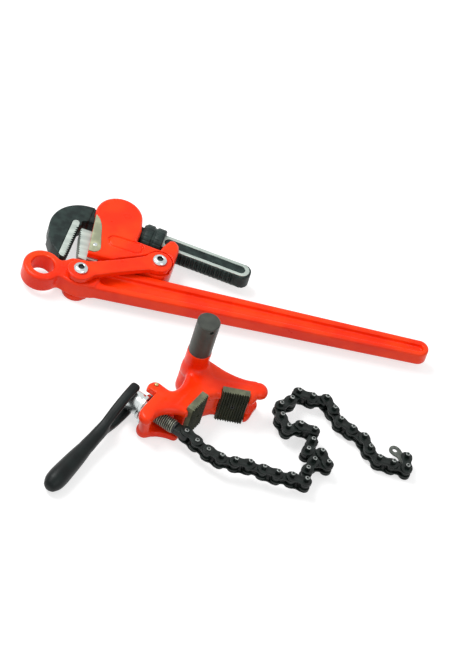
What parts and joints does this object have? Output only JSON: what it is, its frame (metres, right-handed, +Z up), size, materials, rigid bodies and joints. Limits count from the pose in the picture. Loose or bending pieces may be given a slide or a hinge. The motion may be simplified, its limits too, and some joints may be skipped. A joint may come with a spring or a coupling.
{
  "type": "compound leverage pipe wrench",
  "caption": "Two-piece compound leverage pipe wrench: pipe-wrench head linked to a long eyed handle, and a chain trunnion whose pin takes the eye.",
  "frame": {"origin": "trunnion pin's axis at the floor", "axes": "+Z up along the trunnion pin, +X along the wrench handle from its eye to its tip"},
  "size_m": [0.457, 0.4133, 0.1111],
  "materials": {
    "red_enamel": "gloss",
    "bright_steel": "satin",
    "dark_steel": "satin",
    "olive_steel": "satin",
    "zinc": "gloss",
    "spring_steel": "satin",
    "black_vinyl": "satin",
    "brass": "satin",
    "chain_steel": "satin"
  },
  "bodies": {
    "handle": {"handle": "red_enamel"},
    "side_links": {"front_link": "red_enamel", "rear_link": "red_enamel", "pivot_bolts": "bright_steel"},
    "head": {"head_housing": "red_enamel", "heel_jaw": "bright_steel", "heel_jaw_plates": "bright_steel", "heel_jaw_pin": "bright_steel", "coil_spring": "spring_steel", "flat_spring": "spring_steel"},
    "adjuster": {"adjusting_nut": "dark_steel"},
    "hook": {"hook_jaw": "dark_steel"},
    "trunnion": {"trunnion_body": "red_enamel", "trunnion_pin": "dark_steel", "left_jaw_pad": "olive_steel", "right_jaw_pad": "olive_steel", "pad_screws": "dark_steel", "nut_retainer": "zinc", "retainer_pin": "brass"},
    "swivel": {"swivel_nut": "zinc", "crank_pins": "bright_steel"},
    "crank": {"crank_handle": "black_vinyl"},
    "screw": {"chain_screw": "bright_steel"},
    "link_01": {"chain_link_01": "chain_steel"},
    "link_02": {"chain_link_02": "chain_steel"},
    "link_03": {"chain_link_03": "chain_steel"},
    "link_04": {"chain_link_04": "chain_steel"},
    "link_05": {"chain_link_05": "chain_steel"},
    "link_06": {"chain_link_06": "chain_steel"},
    "link_07": {"chain_link_07": "chain_steel"},
    "link_08": {"chain_link_08": "chain_steel"},
    "link_09": {"chain_link_09": "chain_steel"},
    "link_10": {"chain_link_10": "chain_steel"},
    "link_11": {"chain_link_11": "chain_steel"},
    "link_12": {"chain_link_12": "chain_steel"},
    "link_13": {"chain_link_13": "chain_steel"},
    "link_14": {"chain_link_14": "chain_steel"},
    "link_15": {"chain_link_15": "chain_steel"},
    "link_16": {"chain_link_16": "chain_steel"},
    "link_17": {"chain_link_17": "chain_steel"},
    "link_18": {"chain_link_18": "chain_steel"},
    "link_19": {"chain_link_19": "chain_steel"},
    "link_20": {"chain_link_20": "chain_steel"},
    "link_21": {"chain_link_21": "chain_steel"},
    "link_22": {"chain_link_22": "chain_steel"},
    "link_23": {"chain_link_23": "chain_steel"},
    "link_24": {"chain_link_24": "chain_steel"},
    "link_25": {"chain_link_25": "chain_steel"},
    "link_26": {"chain_link_26": "chain_steel"},
    "link_27": {"chain_link_27": "chain_steel"},
    "link_28": {"chain_link_28": "chain_steel"},
    "link_29": {"chain_link_29": "chain_steel"},
    "link_30": {"chain_link_30": "chain_steel"},
    "link_31": {"chain_link_31": "chain_steel"},
    "link_32": {"chain_link_32": "chain_steel"},
    "link_33": {"chain_link_33": "chain_steel"},
    "link_34": {"chain_link_34": "chain_steel"}
  },
  "joints": [
    {"name": "links_swing", "type": "hinge", "parent": "handle", "child": "side_links", "pos_m": [-0.1376, 0.1032, 0.019], "axis": [0, 0, 1], "range_deg": [0, 70]},
    {"name": "head_swing", "type": "hinge", "parent": "side_links", "child": "head", "pos_m": [-0.0532, 0.13981, 0.019], "axis": [0, 0, 1], "range_deg": [-70, 0]},
    {"name": "adjuster_turn", "type": "hinge", "parent": "head", "child": "adjuster", "pos_m": [-0.06278, 0.18272, 0.019], "axis": [0.9806, -0.1959, 0], "range_deg": [-73, 3961]},
    {"name": "hook_slide", "type": "slide", "parent": "head", "child": "hook", "axis": [-0.9806, 0.1959, 0], "range_m": [-0.001, 0.055]},
    {"name": "trunnion_lift", "type": "slide", "parent": "handle", "child": "trunnion", "axis": [0, 0, 1], "range_m": [0, 0.15]},
    {"name": "crank_turn", "type": "hinge", "parent": "trunnion", "child": "swivel", "pos_m": [-0.06207, -0.05307, 0.023], "axis": [0.8829, -0.4695, 0], "range_deg": [-2160, 1080]},
    {"name": "screw_slide", "type": "slide", "parent": "trunnion", "child": "screw", "axis": [0.8829, -0.4695, 0], "range_m": [-0.00695, 0.01388]},
    {"name": "crank_swing", "type": "hinge", "parent": "swivel", "child": "crank", "pos_m": [-0.06207, -0.05307, 0.023], "axis": [-0.0391, -0.0735, 0.9965], "range_deg": [-90, 0]},
    {"name": "pin_01", "type": "hinge", "parent": "screw", "child": "link_01", "pos_m": [0.00105, -0.08664, 0.023], "axis": [-0.0575, -0.0143, -0.9982], "range_deg": [-10, 20]},
    {"name": "pin_02", "type": "hinge", "parent": "link_01", "child": "link_02", "pos_m": [0.01363, -0.09631, 0.02241], "axis": [0.0575, 0.0143, 0.9982], "range_deg": [-24, 8]},
    {"name": "pin_03", "type": "hinge", "parent": "link_02", "child": "link_03", "pos_m": [0.02696, -0.10491, 0.02177], "axis": [0.0575, 0.0143, 0.9982], "range_deg": [-29, 7]},
    {"name": "pin_04", "type": "hinge", "parent": "link_03", "child": "link_04", "pos_m": [0.04149, -0.11124, 0.02102], "axis": [-0.0575, -0.0143, -0.9982], "range_deg": [-6, 42]},
    {"name": "pin_05", "type": "hinge", "parent": "link_04", "child": "link_05", "pos_m": [0.05734, -0.11147, 0.02011], "axis": [0.0575, 0.0143, 0.9982], "range_deg": [-26, 6]},
    {"name": "pin_06", "type": "hinge", "parent": "link_05", "child": "link_06", "pos_m": [0.07311, -0.10988, 0.01918], "axis": [-0.0575, -0.0143, -0.9982], "range_deg": [-6, 20]},
    {"name": "pin_07", "type": "hinge", "parent": "link_06", "child": "link_07", "pos_m": [0.0888, -0.11209, 0.01831], "axis": [-0.0575, -0.0143, -0.9982], "range_deg": [-6, 21]},
    {"name": "pin_08", "type": "hinge", "parent": "link_07", "child": "link_08", "pos_m": [0.10456, -0.11384, 0.01743], "axis": [-0.0575, -0.0143, -0.9982], "range_deg": [-6, 30]},
    {"name": "pin_09", "type": "hinge", "parent": "link_08", "child": "link_09", "pos_m": [0.12037, -0.11279, 0.0165], "axis": [0.0575, 0.0143, 0.9982], "range_deg": [-20, 6]},
    {"name": "pin_10", "type": "hinge", "parent": "link_09", "child": "link_10", "pos_m": [0.13616, -0.11418, 0.01561], "axis": [0.0575, 0.0143, 0.9982], "range_deg": [-115, 6]},
    {"name": "pin_11", "type": "hinge", "parent": "link_10", "child": "link_11", "pos_m": [0.13607, -0.09831, 0.01539], "axis": [-0.0575, -0.0143, -0.9982], "range_deg": [-7, 20]},
    {"name": "pin_12", "type": "hinge", "parent": "link_11", "child": "link_12", "pos_m": [0.14233, -0.08373, 0.01482], "axis": [0.0575, 0.0143, 0.9982], "range_deg": [-20, 13]},
    {"name": "pin_13", "type": "hinge", "parent": "link_12", "child": "link_13", "pos_m": [0.15813, -0.08247, 0.01389], "axis": [-0.0575, -0.0143, -0.9982], "range_deg": [0, 116]},
    {"name": "pin_14", "type": "hinge", "parent": "link_13", "child": "link_14", "pos_m": [0.15003, -0.06882, 0.01416], "axis": [0.0575, 0.0143, 0.9982], "range_deg": [-88, 1]},
    {"name": "pin_15", "type": "hinge", "parent": "link_14", "child": "link_15", "pos_m": [0.13438, -0.07126, 0.0151], "axis": [0.0575, 0.0143, 0.9982], "range_deg": [-7, 16]},
    {"name": "pin_16", "type": "hinge", "parent": "link_15", "child": "link_16", "pos_m": [0.13882, -0.05603, 0.01463], "axis": [0.0575, 0.0143, 0.9982], "range_deg": [-33, 20]},
    {"name": "pin_17", "type": "hinge", "parent": "link_16", "child": "link_17", "pos_m": [0.13956, -0.04018, 0.01435], "axis": [-0.0575, -0.0143, -0.9982], "range_deg": [-20, 64]},
    {"name": "pin_18", "type": "hinge", "parent": "link_17", "child": "link_18", "pos_m": [0.12396, -0.03736, 0.01521], "axis": [-0.0575, -0.0143, -0.9982], "range_deg": [-20, 51]},
    {"name": "pin_19", "type": "hinge", "parent": "link_18", "child": "link_19", "pos_m": [0.11046, -0.04567, 0.01611], "axis": [0.0575, 0.0143, 0.9982], "range_deg": [-20, 25]},
    {"name": "pin_20", "type": "hinge", "parent": "link_19", "child": "link_20", "pos_m": [0.10218, -0.03213, 0.01639], "axis": [-0.0575, -0.0143, -0.9982], "range_deg": [-43, 20]},
    {"name": "pin_21", "type": "hinge", "parent": "link_20", "child": "link_21", "pos_m": [0.09997, -0.01641, 0.01629], "axis": [0.0575, 0.0143, 0.9982], "range_deg": [-20, 51]},
    {"name": "pin_22", "type": "hinge", "parent": "link_21", "child": "link_22", "pos_m": [0.11091, -0.00494, 0.0155], "axis": [0.0575, 0.0143, 0.9982], "range_deg": [-29, 20]},
    {"name": "pin_23", "type": "hinge", "parent": "link_22", "child": "link_23", "pos_m": [0.11832, 0.00908, 0.01487], "axis": [-0.0575, -0.0143, -0.9982], "range_deg": [-53, 20]},
    {"name": "pin_24", "type": "hinge", "parent": "link_23", "child": "link_24", "pos_m": [0.13403, 0.00695, 0.014], "axis": [-0.0575, -0.0143, -0.9982], "range_deg": [-20, 28]},
    {"name": "pin_25", "type": "hinge", "parent": "link_24", "child": "link_25", "pos_m": [0.1496, 0.00992, 0.01306], "axis": [0.0575, 0.0143, 0.9982], "range_deg": [-20, 69]},
    {"name": "pin_26", "type": "hinge", "parent": "link_25", "child": "link_26", "pos_m": [0.15903, -0.00284, 0.0127], "axis": [0.0575, 0.0143, 0.9982], "range_deg": [-20, 24]},
    {"name": "pin_27", "type": "hinge", "parent": "link_26", "child": "link_27", "pos_m": [0.16738, -0.01634, 0.01241], "axis": [-0.0575, -0.0143, -0.9982], "range_deg": [-20, 46]},
    {"name": "pin_28", "type": "hinge", "parent": "link_27", "child": "link_28", "pos_m": [0.18124, -0.02406, 0.01172], "axis": [-0.0575, -0.0143, -0.9982], "range_deg": [-20, 22]},
    {"name": "pin_29", "type": "hinge", "parent": "link_28", "child": "link_29", "pos_m": [0.19535, -0.0313, 0.01101], "axis": [0.0575, 0.0143, 0.9982], "range_deg": [-20, 55]},
    {"name": "pin_30", "type": "hinge", "parent": "link_29", "child": "link_30", "pos_m": [0.20262, -0.04541, 0.0108], "axis": [-0.0575, -0.0143, -0.9982], "range_deg": [-20, 37]},
    {"name": "pin_31", "type": "hinge", "parent": "link_30", "child": "link_31", "pos_m": [0.21381, -0.05666, 0.01031], "axis": [-0.0575, -0.0143, -0.9982], "range_deg": [-20, 59]},
    {"name": "pin_32", "type": "hinge", "parent": "link_31", "child": "link_32", "pos_m": [0.22959, -0.05824, 0.00943], "axis": [-0.0575, -0.0143, -0.9982], "range_deg": [-20, 20]},
    {"name": "pin_33", "type": "hinge", "parent": "link_32", "child": "link_33", "pos_m": [0.24536, -0.05983, 0.00854], "axis": [-0.0575, -0.0143, -0.9982], "range_deg": [-20, 120]},
    {"name": "pin_34", "type": "hinge", "parent": "link_33", "child": "link_34", "pos_m": [0.24413, -0.044, 0.00839], "axis": [0.0575, 0.0143, 0.9982], "range_deg": [-66, 20]}
  ],
  "couplings": [
    {"joint": "head_swing", "follows": "links_swing", "ratio": -1},
    {"joint": "adjuster_turn", "follows": "hook_slide", "rad_per_m": 1256.6},
    {"joint": "screw_slide", "follows": "crank_turn", "m_per_rad": -0.00036765}
  ]
}
